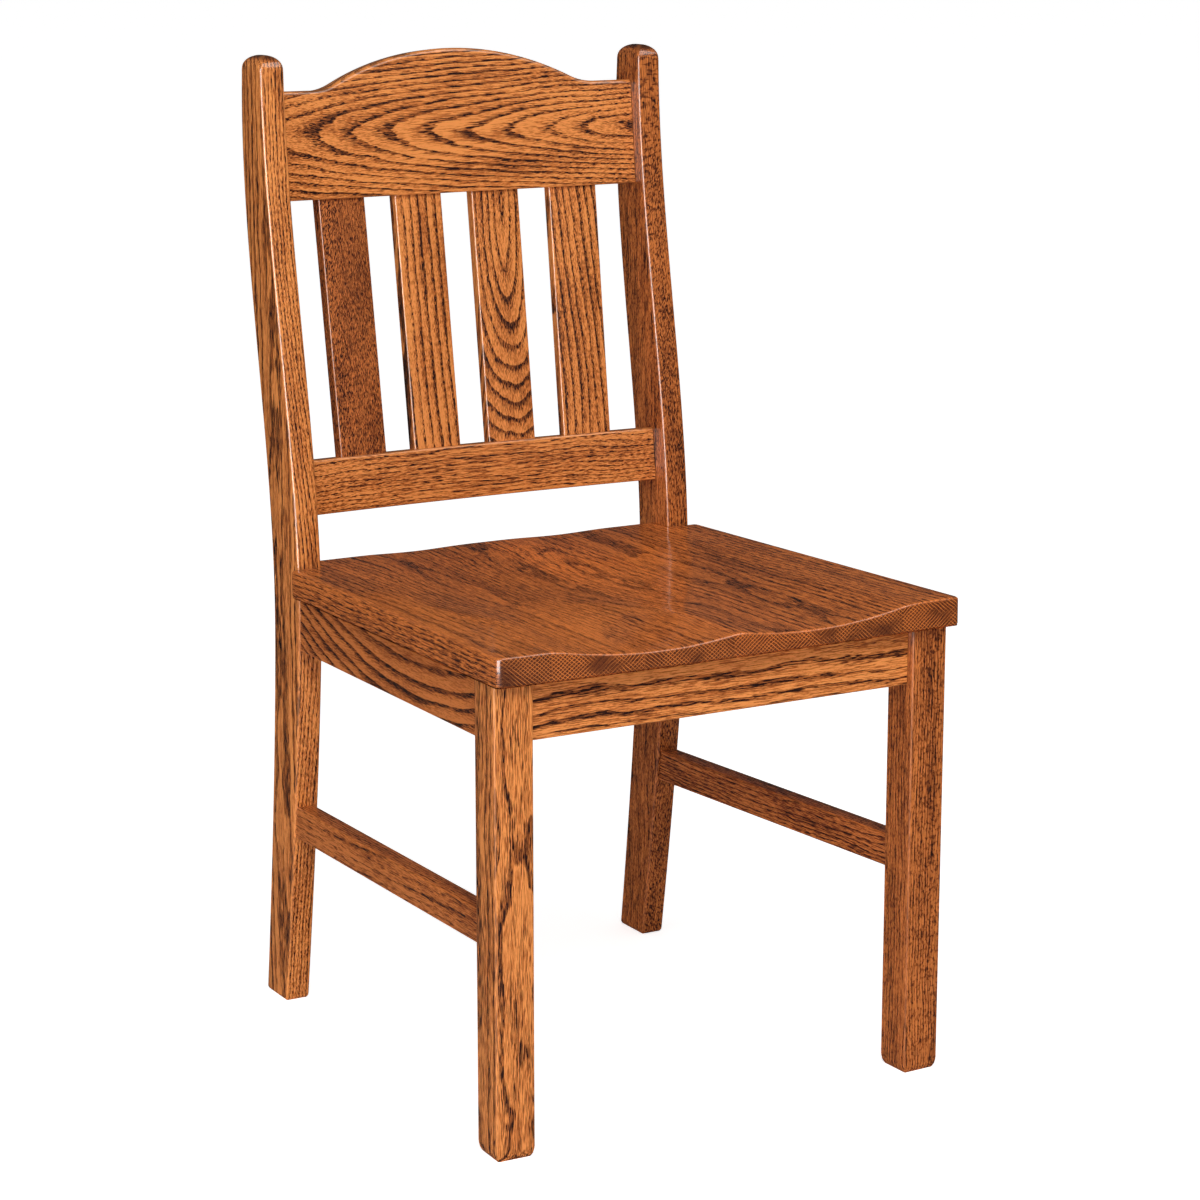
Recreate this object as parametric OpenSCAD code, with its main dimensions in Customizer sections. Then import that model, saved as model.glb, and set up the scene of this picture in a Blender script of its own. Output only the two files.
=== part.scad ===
// Dining chair in solid red oak: saddled plank seat, bent rear posts, four back slats
// and two side stretchers. The chair faces -Y, +X is to the right of that front seen
// from -Y, +Z is up. The origin is on the floor under the middle of the outer box.

/* [Overall] */
// Front edge of the seat to the rearmost point of the chair
overall_d = 560; // [500:1:680]
// Height of the rear posts
post_h = 932; // [880:1:1130]

/* [Seat] */
// Height of the seat at its front corners
seat_h = 457; // [400:1:520]
// Width of the seat across its front corners
seat_w = 479; // [440:1:580]
// Width of the seat across its rear corners, beside the posts
seat_rear_w = 457; // [452:1:550]
// How far the seat runs back between the posts, behind their front faces
seat_tuck = 29; // [24:0.5:36]
// Thickness of the seat boards
seat_t = 26; // [20:0.5:34]
// Backward slope of the seat, degrees
seat_slope = 0.85; // [0:0.05:2]
// Curve of the seat's front edge: how far its ends stand back from its middle
seat_bow = 5.5; // [0:0.5:20]
// Corner radius of the seat in plan
seat_corner_r = 6; // [2:1:20]
// Depth of the two hollows of the saddle at the front edge
saddle_depth = 10.3; // [3:0.1:13]
// Depth of the hollows at the rear edge
saddle_rear = 0.8; // [0.2:0.1:2]
// Distance of each hollow from the middle of the seat
hollow_x = 80; // [60:1:100]
// Radius of the hollows across the seat
hollow_r = 500; // [350:10:800]
// Depth of the round dish in the middle of the seat
dish_depth = 9; // [3:0.5:11]
// Radius of the dish
dish_r = 2000; // [1500:50:2800]
// Distance of the deepest point of the dish from the front edge
dish_y = 255; // [230:5:290]
// Width of one glued-up seat board
board_w = 90.5; // [84:0.5:100]
// Distance of the rightmost glue line from the middle of the seat
first_seam = 174; // [150:1:185]

/* [Front legs] */
// Side of the square front leg
leg_w = 38; // [30:0.5:50]
// Seat overhang in front of the legs
leg_front_set = 19; // [8:1:30]
// Seat overhang beside the legs
leg_side_set = 4; // [0:0.5:12]
// Chamfer round the foot of every leg
foot_chamfer = 3; // [1:0.5:5]

/* [Rear posts] */
// Width across the outsides of the two posts
post_span = 439; // [400:1:445]
// Width of a post, seen from the front
post_w = 25; // [21:0.5:36]
// Depth of a post at the floor
post_d_foot = 46.5; // [36:0.5:60]
// Depth of a post at the seat
post_d_seat = 58; // [46:0.5:70]
// Depth of a post at its top
post_d_top = 42; // [34:0.5:55]
// How far the foot stands behind the knee of the post
kick = 49.5; // [10:0.5:80]
// How far the top stands behind the knee of the post
rake = 62.5; // [20:0.5:100]
// Height of the knee, where the post turns back both ways
knee_h = 410; // [380:1:430]
// Radius of the post's top, seen from the front
post_top_r = 11; // [3:0.5:12]
// Radius of the post's top, seen from the side
post_top_side_r = 16; // [3:0.5:17]

/* [Aprons] */
// Height of the aprons
apron_h = 55; // [40:1:80]
// Thickness of the aprons and the side stretchers
rail_t = 19; // [15:0.5:22]
// Set-back of the front apron behind the legs' front faces
apron_set = 7; // [2:0.5:10]
// Set-back of the side rails inside the leg's outer face
rail_set_leg = 5; // [2:0.5:9]
// Set-back of the side rails inside the post's outer face
rail_set_post = 1.5; // [0:0.5:3]
// Seat overhang behind the rear apron
rear_overhang = 5; // [2:1:15]

/* [Side stretchers] */
// Height of a side stretcher, top to bottom
stretcher_h = 32; // [24:1:45]
// Height above the floor of the stretcher's lower edge at the front leg
stretcher_z = 188; // [120:1:260]
// Downward slope of the stretcher towards the post, degrees
stretcher_slope = 1.6; // [0:0.1:3]

/* [Back rails] */
// Thickness of the crest rail and the lower back rail
back_rail_t = 22; // [18:0.5:24]
// Set-back of the back rails behind the posts' front faces at the lower rail
lower_set = 20; // [14:0.5:24]
// Set-back of the crest rail behind the posts' front faces
crest_set = 15; // [8:0.5:18]
// Backward bow of both rails between the posts
back_bow = 14; // [2:0.5:20]
// Height of the lower rail's lower edge at the middle
lower_rail_z = 494; // [480:1:560]
// Height of the lower rail, top to bottom
lower_rail_h = 53; // [40:1:70]
// Height of the crest rail's lower edge at the middle
crest_z = 793; // [740:1:900]
// Height of the crest rail at its ends
crest_end_h = 104; // [80:1:110]
// Height of the crest rail at its middle
crest_mid_h = 141; // [125:1:180]
// Radius of the crown of the crest rail
crown_r = 290; // [260:5:340]
// Radius of the hollow at each foot of the crown
crown_foot_r = 60; // [30:5:80]

/* [Slats] */
// Width of a slat
slat_w = 52; // [40:0.5:62]
// Thickness of a slat
slat_t = 12.5; // [8:0.5:14]
// How far the slats stand behind the middle of the back rails
slat_back = 1.5; // [0:0.25:2]
// Spacing of the slats at the crest rail
slat_pitch_top = 86; // [70:0.5:92]
// Spacing of the slats at the lower rail
slat_pitch_low = 84; // [70:0.5:92]

/* [Joints] */
// Length of the tenons in the legs and posts
tenon_l = 16; // [10:0.5:18]
// Thickness of the tenons of aprons, stretchers and back rails
tenon_t = 9; // [6:0.5:11]
// Shoulder above and below a tenon
tenon_shoulder = 6; // [3:0.5:9]
// Length of the slats' tenons
slat_tenon_l = 12; // [8:0.5:18]
// Shoulder round a slat's tenon
slat_shoulder = 1.5; // [1:0.25:2.5]
// Glue clearance on each side of a tenon
glue_gap = 0.15; // [0.05:0.05:0.4]
// Clearance at the end of a tenon
end_gap = 1; // [0.5:0.5:2]
// Clearance between the seat's notches and the posts
notch_gap = 0.3; // [0.1:0.1:1]

/* [Corner blocks and screws] */
// Length of a corner block along each apron
block_l = 75; // [64:1:90]
// Thickness of a corner block
block_t = 22; // [16:1:30]
// Clearance between a corner block and its leg
block_gap = 0.5; // [0.3:0.1:2]
// Wood left under the head of a block screw
block_web = 12; // [8:1:16]
// Distance of a block screw from the inner corner of the aprons
block_screw_at = 48; // [44:1:52]
// Distance of the front seat screws from the side apron
seat_screw_front = 24; // [22:1:30]
// Distance of the rear seat screws from the side apron
seat_screw_rear = 34; // [30:1:38]
// Radius of a screw's shank
screw_r = 2; // [1.5:0.1:2.5]
// Radius of a screw's head
screw_head_r = 4; // [3:0.1:4.5]
// Height of a block screw's head
screw_head_h = 2.5; // [1.5:0.5:3.5]
// Depth of a block screw's thread in an apron
block_screw_bite = 13; // [9:1:14]
// Depth of a seat screw's thread in the seat
seat_screw_bite = 12; // [8:1:14]
// Clearance round a screw in its hole
screw_gap = 0.1; // [0.05:0.05:0.3]

/* [Hidden] */

// Larger than the chair: the side of the blocks that trim ends and faces
far = 1500;
// Small extension that makes a cut run past a face
over = 1;
// How far a tenon is rooted inside its own rail
root = 6;
round_fn = 48;
arc_fn = 360;
post_steps = 16;

// ---- rear posts, side view: y of the front and back faces at height z ----
function smooth(s) = s <= 0 ? 0 : s >= 1 ? 1 : s * s * (3 - 2 * s);
function above_knee(z) = (z - knee_h) / (post_h - knee_h);
function below_knee(z) = (knee_h - z) / knee_h;
function post_lean(z) = z < knee_h ? kick * pow(below_knee(z), 1.35) : rake * smooth(above_knee(z));
function post_depth(z) = z < knee_h
    ? post_d_seat + (post_d_foot - post_d_seat) * below_knee(z)
    : post_d_seat + (post_d_top - post_d_seat) * pow(above_knee(z), 4);
post_zs = concat(
    [for (i = [0 : post_steps - 1]) knee_h * i / post_steps],
    [for (i = [0 : post_steps]) knee_h + (post_h - knee_h) * i / post_steps]
);
function post_tilt(z) = atan((post_lean(z + over) - post_lean(z - over)) / (2 * over));
lower_tilt = post_tilt(lower_rail_z + lower_rail_h / 2);
crest_tilt = post_tilt(crest_z + crest_end_h / 2);
post_reach = max([for (z = post_zs) post_lean(z) + post_depth(z)]);
crest_reach = post_lean(crest_z) + crest_set + back_bow
    + back_rail_t * cos(crest_tilt) + crest_mid_h * sin(crest_tilt);
knee_y = overall_d / 2 - max(post_reach, crest_reach);
function post_front(z) = knee_y + post_lean(z);
function post_back(z) = post_front(z) + post_depth(z);
post_x = post_span / 2;
post_in_x = post_x - post_w;

// ---- seat, in its own sloped frame: y back from the front edge, z up from the corners ----
seat_y = -overall_d / 2;
seat_d = knee_y - seat_y + seat_tuck;
seat_end_x = seat_w / 2;
seat_rear_x = seat_rear_w / 2;
function seat_under_z(y) = seat_h - seat_t / cos(seat_slope) - (y - seat_y) * tan(seat_slope);
hollow_tilt = atan((saddle_depth - saddle_rear) / seat_d);

// ---- front legs and side rails share one frame, turned to the splay of the seat ----
leg_x = seat_end_x - leg_side_set;
leg_y = seat_y + leg_front_set;
apron_mid_z = seat_under_z(post_front(knee_h)) - apron_h / 2;
side_x = leg_x - rail_set_leg;
splay = atan((side_x - post_x + rail_set_post) / (post_front(apron_mid_z) - leg_y));
leg_in = leg_w - rail_set_leg;
// x of the leg's inner face and of the side apron's inner face at a given y, left side
function leg_in_x(y) = -side_x + leg_in / cos(splay) + (y - leg_y) * tan(splay);
function rail_in_x(y) = -side_x + rail_t / cos(splay) + (y - leg_y) * tan(splay);
side_run = post_back(0) - leg_y;

front_apron_y = leg_y + apron_set;
front_apron_in = front_apron_y + rail_t;
rear_apron_y = seat_y + seat_d - rear_overhang - rail_t;
front_apron_z = seat_under_z(front_apron_y) - apron_h;
rear_apron_z = seat_under_z(rear_apron_y) - apron_h;
tenon_in = (rail_t - tenon_t) / 2;

// ---- bowed back rails: arc in plan through the middle and both post faces ----
bow_r = (pow(post_in_x, 2) + pow(back_bow, 2)) / (2 * back_bow);
function bow_y(x) = sqrt(pow(bow_r, 2) - pow(x, 2)) - bow_r;
lower_y = post_front(lower_rail_z) + lower_set + back_bow;
crest_y = post_front(crest_z) + crest_set + back_bow;
// a point of a back rail's own frame, given in the chair's frame
function tilted(p, y, z, tilt) = [
    p[0],
    y + p[1] * cos(tilt) + p[2] * sin(tilt),
    z - p[1] * sin(tilt) + p[2] * cos(tilt)
];

// ---- crown of the crest: an arc that runs into the flat ends through two hollows ----
crown_mid_z = crest_mid_h - crown_r;
crown_foot_x = sqrt(pow(crown_r + crown_foot_r, 2) - pow(crest_end_h + crown_foot_r - crown_mid_z, 2));
crown_join_x = crown_foot_x * crown_r / (crown_r + crown_foot_r);
function crown_z(x) =
    abs(x) < crown_join_x ? crown_mid_z + sqrt(pow(crown_r, 2) - pow(x, 2))
    : abs(x) < crown_foot_x
        ? crest_end_h + crown_foot_r - sqrt(pow(crown_foot_r, 2) - pow(crown_foot_x - abs(x), 2))
        : crest_end_h;
crown_steps = 48;
crown_xs = [for (i = [0 : crown_steps]) crown_foot_x * (2 * i / crown_steps - 1)];

// ---- slats ----
slat_n = 4;
function slat_k(i) = i - (slat_n + 1) / 2;
function slat_low(i) = let (x = slat_k(i) * slat_pitch_low)
    tilted([x, bow_y(x) + back_rail_t / 2 + slat_back, lower_rail_h], lower_y, lower_rail_z, lower_tilt);
function slat_top(i) = let (x = slat_k(i) * slat_pitch_top)
    tilted([x, bow_y(x) + back_rail_t / 2 + slat_back, 0], crest_y, crest_z, crest_tilt);

// ---- seat boards: board i runs from seam i to seam i + 1 ----
board_n = 6;
function seam(i) = i <= 1 ? -seat_end_x : i > board_n ? seat_end_x : first_seam - (board_n - i) * board_w;

// ---- corner blocks: place of the inner corner of the aprons, left side ----
function corner_y(rear) = rear ? rear_apron_y : front_apron_in;
function corner_x(rear) = rail_in_x(corner_y(rear));
function into(rear) = rear ? -1 : 1;
block_low = seat_under_z(0) - 2 * block_t;

oak_light = [0.78, 0.45, 0.22];
oak_mid = [0.68, 0.37, 0.18];
oak_dark = [0.52, 0.27, 0.13];
seat_brown = [0.60, 0.32, 0.16];
steel = [0.72, 0.72, 0.74];

// ======== frames ========

module both_sides() {
    children();
    mirror([1, 0, 0]) children();
}

// Left or right copy of a piece drawn on the left
module on_side(right) {
    if (right) mirror([1, 0, 0]) children();
    else children();
}

// Frame of the left side rails: origin at the leg's front face, y runs to the post
module side_frame() {
    translate([-side_x, leg_y, 0]) rotate([0, 0, -splay]) children();
}

module seat_frame() {
    translate([0, seat_y, seat_h]) rotate([-seat_slope, 0, 0]) children();
}

module tilt_frame(y, z, tilt) {
    translate([0, y, z]) rotate([-tilt, 0, 0]) children();
}

// Side-view outline, y across and z up, made w wide from x = 0 towards +X
module side_extrude(w) {
    rotate([90, 0, 90]) linear_extrude(w) children();
}

// Front-view outline, x across and z up, made d deep from y = 0 towards +Y
module front_extrude(d) {
    translate([0, d, 0]) rotate([90, 0, 0]) linear_extrude(d) children();
}

// ======== trimming bodies ========

// Everything above the underside of the seat
module above_seat_underside() {
    seat_frame() translate([-far / 2, -far / 2, -seat_t]) cube([far, far, far / 2]);
}

// Everything behind the front faces of the posts
module behind_posts(grow = 0) {
    translate([-far / 2, 0, 0]) side_extrude(far) polygon(concat(
        [for (z = post_zs) [post_front(z) - grow, z]],
        [[far, post_h], [far, 0]]
    ));
}

// Everything outside the inner faces of the posts, on the left
module outside_posts() {
    translate([-far - post_in_x, -far / 2, 0]) cube([far, far, far]);
}

// Everything on the leg's side of its inner face
module outside_leg() {
    side_frame() translate([leg_in - far, -far / 2, 0]) cube([far, far, far]);
}

// ======== joints ========

// Tenon of a side apron, in the side frame: into the leg and into the post
module side_apron_tenons(gap = 0, tip = 0) {
    side_frame()
        rotate([-seat_slope, 0, 0])
        translate([tenon_in - gap, leg_w - tenon_l - tip, side_apron_low() + tenon_shoulder - gap])
        cube([
            tenon_t + 2 * gap,
            side_apron_run() + 2 * tenon_l + 2 * tip,
            apron_h - 2 * tenon_shoulder + 2 * gap
        ]);
}

function side_apron_low() = seat_under_z(leg_y) / cos(seat_slope) - apron_h;
function side_apron_run() = (post_front(apron_mid_z) - leg_y) / cos(splay) - leg_w;

module front_apron_tenon(gap = 0, tip = 0) {
    x = leg_in_x(front_apron_y + rail_t / 2);
    translate([x - tenon_l - tip, front_apron_y + tenon_in - gap, front_apron_z + tenon_shoulder - gap])
        cube([tenon_l + tip + root, tenon_t + 2 * gap, apron_h - 2 * tenon_shoulder + 2 * gap]);
}

module rear_apron_tenon(gap = 0, tip = 0) {
    translate([
        -post_in_x - tenon_l - tip,
        rear_apron_y + tenon_in - gap,
        rear_apron_z + tenon_shoulder - gap
    ])
        cube([tenon_l + tip + root, tenon_t + 2 * gap, apron_h - 2 * tenon_shoulder + 2 * gap]);
}

module stretcher_tenons(gap = 0, tip = 0) {
    run = (post_front(stretcher_z) - leg_y) / cos(splay) - leg_w;
    side_frame()
        translate([0, leg_w, stretcher_z])
        rotate([-stretcher_slope, 0, 0])
        translate([tenon_in - gap, -tenon_l - tip, tenon_shoulder - gap])
        cube([
            tenon_t + 2 * gap,
            run + 2 * tenon_l + 2 * tip,
            stretcher_h - 2 * tenon_shoulder + 2 * gap
        ]);
}

// Left tenon of a bowed back rail of height h, in the rail's own frame
module back_rail_tenon(h, gap = 0, tip = 0) {
    y = (back_rail_t - tenon_t) / 2 - back_bow;
    translate([-post_in_x - tenon_l - tip, y - gap, tenon_shoulder - gap])
        cube([tenon_l + tip + root, tenon_t + 2 * gap, h - 2 * tenon_shoulder + 2 * gap]);
}

module lower_rail_tenon(gap = 0, tip = 0) {
    tilt_frame(lower_y, lower_rail_z, lower_tilt) back_rail_tenon(lower_rail_h, gap, tip);
}

module crest_tenon(gap = 0, tip = 0) {
    tilt_frame(crest_y, crest_z, crest_tilt) back_rail_tenon(crest_end_h, gap, tip);
}

// Bar along slat i, from `start` below its foot to `start` above its head
module slat_bar(i, w, t, start) {
    low = slat_low(i);
    run = slat_top(i) - low;
    len = norm(run);
    translate(low)
        rotate([-atan2(run[1], run[2]), 0, 0])
        rotate([0, asin(run[0] / len), 0])
        rotate([0, 0, -asin(low[0] / bow_r)])
        translate([-w / 2, -t / 2, -start])
        cube([w, t, len + 2 * start]);
}

module slat_tenons(i, gap = 0, tip = 0) {
    slat_bar(
        i,
        slat_w - 2 * slat_shoulder + 2 * gap,
        slat_t - 2 * slat_shoulder + 2 * gap,
        slat_tenon_l + tip
    );
}

// ======== frame of the chair ========

// Quarter arc from angle a to a - 90 about [y, z]
function quarter(y, z, r, a) = [for (k = [0 : 6]) [y + r * cos(a - 15 * k), z + r * sin(a - 15 * k)]];

// Side view of a post, its top corners rounded and its foot chamfered
module post_outline() {
    r = post_top_side_r;
    zs = [for (z = post_zs) if (z > foot_chamfer && z < post_h - r) z];
    top = post_h - r;
    polygon(concat(
        [[post_front(0) + foot_chamfer, 0], [post_front(foot_chamfer), foot_chamfer]],
        [for (z = zs) [post_front(z), z]],
        quarter(post_front(top) + r, top, r, 180),
        quarter(post_back(top) - r, top, r, 90),
        [for (i = [len(zs) - 1 : -1 : 0]) [post_back(zs[i]), zs[i]]],
        [[post_back(foot_chamfer), foot_chamfer], [post_back(0) - foot_chamfer, 0]]
    ));
}

// Rectangle from z = 0 to h with chamfered foot corners and rounded top corners
module foot_to_top(a, b, h, r) {
    polygon(concat(
        [[a + foot_chamfer, 0], [a, foot_chamfer]],
        quarter(a + r, h - r, r, 180),
        quarter(b - r, h - r, r, 90),
        [[b, foot_chamfer], [b - foot_chamfer, 0]]
    ));
}

// Left post: its outlines from the side and from the front, crossed
module post_body() {
    intersection() {
        translate([-post_x, 0, 0]) side_extrude(post_w) post_outline();
        translate([0, post_front(0) - far / 2, 0])
            front_extrude(far) foot_to_top(-post_x, -post_in_x, post_h, post_top_r);
    }
}

module rear_leg(right) {
    color(oak_mid) on_side(right) difference() {
        post_body();
        side_apron_tenons(glue_gap, end_gap);
        rear_apron_tenon(glue_gap, end_gap);
        stretcher_tenons(glue_gap, end_gap);
        lower_rail_tenon(glue_gap, end_gap);
        crest_tenon(glue_gap, end_gap);
    }
}

module leg_outline() {
    foot_to_top(-rail_set_leg, leg_in, seat_h, over);
}

module front_leg(right) {
    color(oak_light) on_side(right) difference() {
        side_frame() intersection() {
            front_extrude(leg_w) leg_outline();
            translate([-rail_set_leg, rail_set_leg, 0]) side_extrude(leg_w) leg_outline();
        }
        above_seat_underside();
        side_apron_tenons(glue_gap, end_gap);
        front_apron_tenon(glue_gap, end_gap);
        stretcher_tenons(glue_gap, end_gap);
    }
}

module front_apron() {
    color(oak_light) difference() {
        union() {
            difference() {
                translate([-leg_x, front_apron_y, front_apron_z]) cube([2 * leg_x, rail_t, 2 * apron_h]);
                both_sides() outside_leg();
            }
            both_sides() front_apron_tenon();
        }
        above_seat_underside();
        block_screw_holes();
    }
}

module rear_apron() {
    color(oak_mid) difference() {
        union() {
            translate([-post_in_x, rear_apron_y, rear_apron_z]) cube([2 * post_in_x, rail_t, 2 * apron_h]);
            both_sides() rear_apron_tenon();
        }
        above_seat_underside();
        block_screw_holes();
    }
}

// The tenons meet inside the leg and the post: the side apron's are cut back there
module side_apron(right) {
    color(oak_mid) on_side(right) difference() {
        union() {
            difference() {
                side_frame()
                    rotate([-seat_slope, 0, 0])
                    translate([0, leg_w, side_apron_low()])
                    cube([rail_t, side_run, apron_h]);
                side_frame() translate([-far / 2, leg_w - far, 0]) cube([far, far, far]);
                behind_posts();
            }
            side_apron_tenons();
        }
        above_seat_underside();
        front_apron_tenon(glue_gap, end_gap);
        rear_apron_tenon(glue_gap, end_gap);
        block_screw_holes();
    }
}

module side_stretcher(right) {
    color(oak_dark) on_side(right) union() {
        difference() {
            side_frame()
                translate([0, leg_w, stretcher_z])
                rotate([-stretcher_slope, 0, 0])
                translate([0, -over, 0])
                cube([rail_t, side_run, stretcher_h]);
            side_frame() translate([-far / 2, leg_w - far, 0]) cube([far, far, far]);
            behind_posts();
        }
        stretcher_tenons();
    }
}

// ======== back ========

// Band between two arcs in plan, h high, in a back rail's own frame
module bowed_band(h) {
    intersection() {
        translate([0, -bow_r, 0]) difference() {
            cylinder(r = bow_r + back_rail_t, h = h, $fn = arc_fn);
            translate([0, 0, -over]) cylinder(r = bow_r, h = h + 2 * over, $fn = arc_fn);
        }
        translate([-post_in_x, -2 * back_bow - back_rail_t, -over])
            cube([2 * post_in_x, 4 * back_bow + 2 * back_rail_t, h + 2 * over]);
    }
}

module lower_back_rail() {
    color(oak_light) difference() {
        union() {
            tilt_frame(lower_y, lower_rail_z, lower_tilt) bowed_band(lower_rail_h);
            both_sides() lower_rail_tenon();
        }
        for (i = [1 : slat_n]) slat_tenons(i, glue_gap, end_gap);
    }
}

module crest_rail() {
    color(oak_light) difference() {
        union() {
            tilt_frame(crest_y, crest_z, crest_tilt) intersection() {
                bowed_band(crest_mid_h + over);
                translate([0, -far / 2, 0]) front_extrude(far) polygon(concat(
                    [[post_x, crest_end_h], [post_x, 0], [-post_x, 0], [-post_x, crest_end_h]],
                    [for (x = crown_xs) [x, crown_z(x)]]
                ));
            }
            both_sides() crest_tenon();
        }
        for (i = [1 : slat_n]) slat_tenons(i, glue_gap, end_gap);
    }
}

module back_slat(i) {
    color(i == 1 ? oak_dark : oak_light) union() {
        difference() {
            slat_bar(i, slat_w, slat_t, slat_tenon_l);
            tilt_frame(lower_y, lower_rail_z, lower_tilt)
                translate([-far / 2, -far / 2, lower_rail_h - far]) cube([far, far, far]);
            tilt_frame(crest_y, crest_z, crest_tilt)
                translate([-far / 2, -far / 2, 0]) cube([far, far, far]);
        }
        slat_tenons(i);
    }
}

// ======== seat ========

// Right half of the front edge and its rounded corner, in the seat's own frame
front_edge = [
    for (i = [0 : 8]) let (x = i / 8 * (seat_end_x - seat_corner_r)) [x, seat_bow * pow(x / seat_end_x, 2)]
];
front_corner = [for (t = [-75 : 15 : 0]) [
    seat_end_x - seat_corner_r + seat_corner_r * cos(t),
    seat_bow + seat_corner_r + seat_corner_r * sin(t)
]];
half_outline = concat(front_edge, front_corner, [[seat_rear_x, knee_y - seat_y], [seat_rear_x, seat_d]]);

// Top view of the seat
module seat_outline() {
    polygon(concat(
        half_outline,
        [for (i = [len(half_outline) - 1 : -1 : 1]) [-half_outline[i][0], half_outline[i][1]]]
    ));
}

// Two long hollows that run out towards the rear, and a round dish between them
module saddle() {
    both_sides() translate([hollow_x, 0, hollow_r - saddle_depth])
        rotate([hollow_tilt - 90, 0, 0])
        translate([0, 0, -seat_d])
        cylinder(r = hollow_r, h = 3 * seat_d, $fn = arc_fn);
    translate([0, dish_y, dish_r - dish_depth]) sphere(r = dish_r, $fn = arc_fn);
}

module post_notches() {
    both_sides() intersection() {
        behind_posts(notch_gap);
        translate([-far - post_in_x + notch_gap, 0, 0]) cube([far, far, far]);
    }
}

module seat_board(i) {
    color(seat_brown) difference() {
        seat_frame() difference() {
            intersection() {
                translate([0, 0, -seat_t]) linear_extrude(seat_t) seat_outline();
                translate([seam(i), 0, -far / 2]) cube([seam(i + 1) - seam(i), far, far]);
            }
            saddle();
        }
        post_notches();
        seat_screw_holes();
    }
}

// ======== corner blocks and screws ========

module block_plan(rear) {
    x = corner_x(rear);
    y = corner_y(rear);
    d = into(rear) * block_l;
    polygon([[x, y], [x + block_l, y], [rail_in_x(y + d), y + d]]);
}

module corner_block(rear, right) {
    color(oak_mid) on_side(right) difference() {
        intersection() {
            translate([0, 0, block_low]) linear_extrude(4 * block_t) block_plan(rear);
            seat_frame() translate([-far / 2, 0, -seat_t - block_t]) cube([far, far, block_t]);
        }
        side_frame()
            translate([-rail_set_leg - block_gap, -block_gap, 0])
            cube([leg_w + 2 * block_gap, leg_w + 2 * block_gap, seat_h]);
        intersection() {
            behind_posts(block_gap);
            translate([-far - post_in_x + block_gap, 0, 0]) cube([far, far, far]);
        }
        for (along_side = [false, true]) block_screw(rear, along_side, screw_gap, far);
        seat_screw(rear, screw_gap, block_t);
    }
}

// Pan-head screw that points along +Z with its head's underside at z = 0
module screw(bite, gap, head_h) {
    cylinder(r = screw_r + gap, h = bite, $fn = round_fn);
    translate([0, 0, -head_h]) cylinder(r = screw_head_r + 2 * gap, h = head_h, $fn = round_fn);
}

// Screw through a left corner block into the side apron or into the front or rear apron
module block_screw(rear, along_side, gap = 0, head_h = screw_head_h) {
    d = into(rear) * block_screw_at;
    y = corner_y(rear);
    z = seat_under_z(y + d) - block_t / 2;
    bite = block_web + block_screw_bite + (gap > 0 ? end_gap : 0);
    if (along_side)
        translate([rail_in_x(y + d), y + d, z])
            rotate([0, 0, -splay])
            translate([block_web, 0, 0])
            rotate([0, -90, 0])
            screw(bite, gap, head_h);
    else
        translate([
            corner_x(rear) + block_screw_at,
            y + into(rear) * block_web,
            seat_under_z(y) - block_t / 2
        ])
            rotate([into(rear) * 90, 0, 0])
            screw(bite, gap, head_h);
}

// Screw up through a left corner block into the seat, its head below the block
module seat_screw(rear, gap = 0, head_h = screw_head_h) {
    x = corner_x(rear) + (rear ? seat_screw_rear : seat_screw_front);
    y = corner_y(rear) + into(rear) * seat_screw_front;
    seat_frame()
        translate([x, (y - seat_y) / cos(seat_slope), -seat_t - block_t])
        screw(block_t + seat_screw_bite + (gap > 0 ? end_gap : 0), gap, head_h);
}

module block_screw_holes() {
    both_sides() for (rear = [false, true], along_side = [false, true])
        block_screw(rear, along_side, screw_gap);
}

module seat_screw_holes() {
    both_sides() for (rear = [false, true]) seat_screw(rear, screw_gap);
}

module block_screws() {
    color(steel) both_sides() for (rear = [false, true], along_side = [false, true])
        block_screw(rear, along_side);
}

module seat_screws() {
    color(steel) both_sides() for (rear = [false, true]) seat_screw(rear);
}

rear_leg(false);  // rear_leg_left
rear_leg(true);  // rear_leg_right
front_leg(false);  // front_leg_left
front_leg(true);  // front_leg_right
crest_rail();
lower_back_rail();
back_slat(1);  // back_slat_1
back_slat(2);  // back_slat_2
back_slat(3);  // back_slat_3
back_slat(4);  // back_slat_4
front_apron();
rear_apron();
side_apron(false);  // side_apron_left
side_apron(true);  // side_apron_right
side_stretcher(false);  // side_stretcher_left
side_stretcher(true);  // side_stretcher_right
seat_board(1);  // seat_board_1
seat_board(2);  // seat_board_2
seat_board(3);  // seat_board_3
seat_board(4);  // seat_board_4
seat_board(5);  // seat_board_5
seat_board(6);  // seat_board_6
corner_block(false, false);  // corner_block_front_left
corner_block(false, true);  // corner_block_front_right
corner_block(true, false);  // corner_block_rear_left
corner_block(true, true);  // corner_block_rear_right
block_screws();
seat_screws();
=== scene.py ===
import math

import bmesh
import bpy
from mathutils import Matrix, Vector
from mathutils.geometry import delaunay_2d_cdt


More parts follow.
